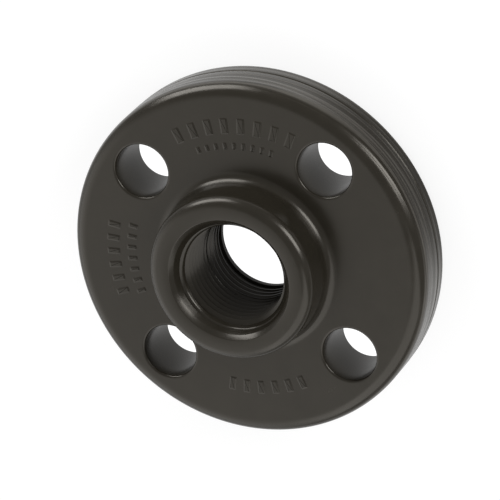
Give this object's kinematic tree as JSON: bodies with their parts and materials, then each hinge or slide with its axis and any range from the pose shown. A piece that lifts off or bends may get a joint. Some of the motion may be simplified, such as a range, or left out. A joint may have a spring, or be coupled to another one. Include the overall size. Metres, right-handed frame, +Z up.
{
  "type": "threaded flange",
  "caption": "Round moulded pipe flange with a threaded hub, a ring of bolt holes and a raised sealing face.",
  "frame": {"origin": "centre of the raised sealing face, on which the flange lies", "axes": "+Z up the bore towards the hub; the bolt holes stand at 45, 135, 225 and 315 degrees from +X"},
  "size_m": [0.108, 0.108, 0.0332],
  "materials": {
    "moulded_plastic": "satin, as moulded"
  },
  "bodies": {
    "root": {"flange": "moulded_plastic"}
  },
  "joints": []
}
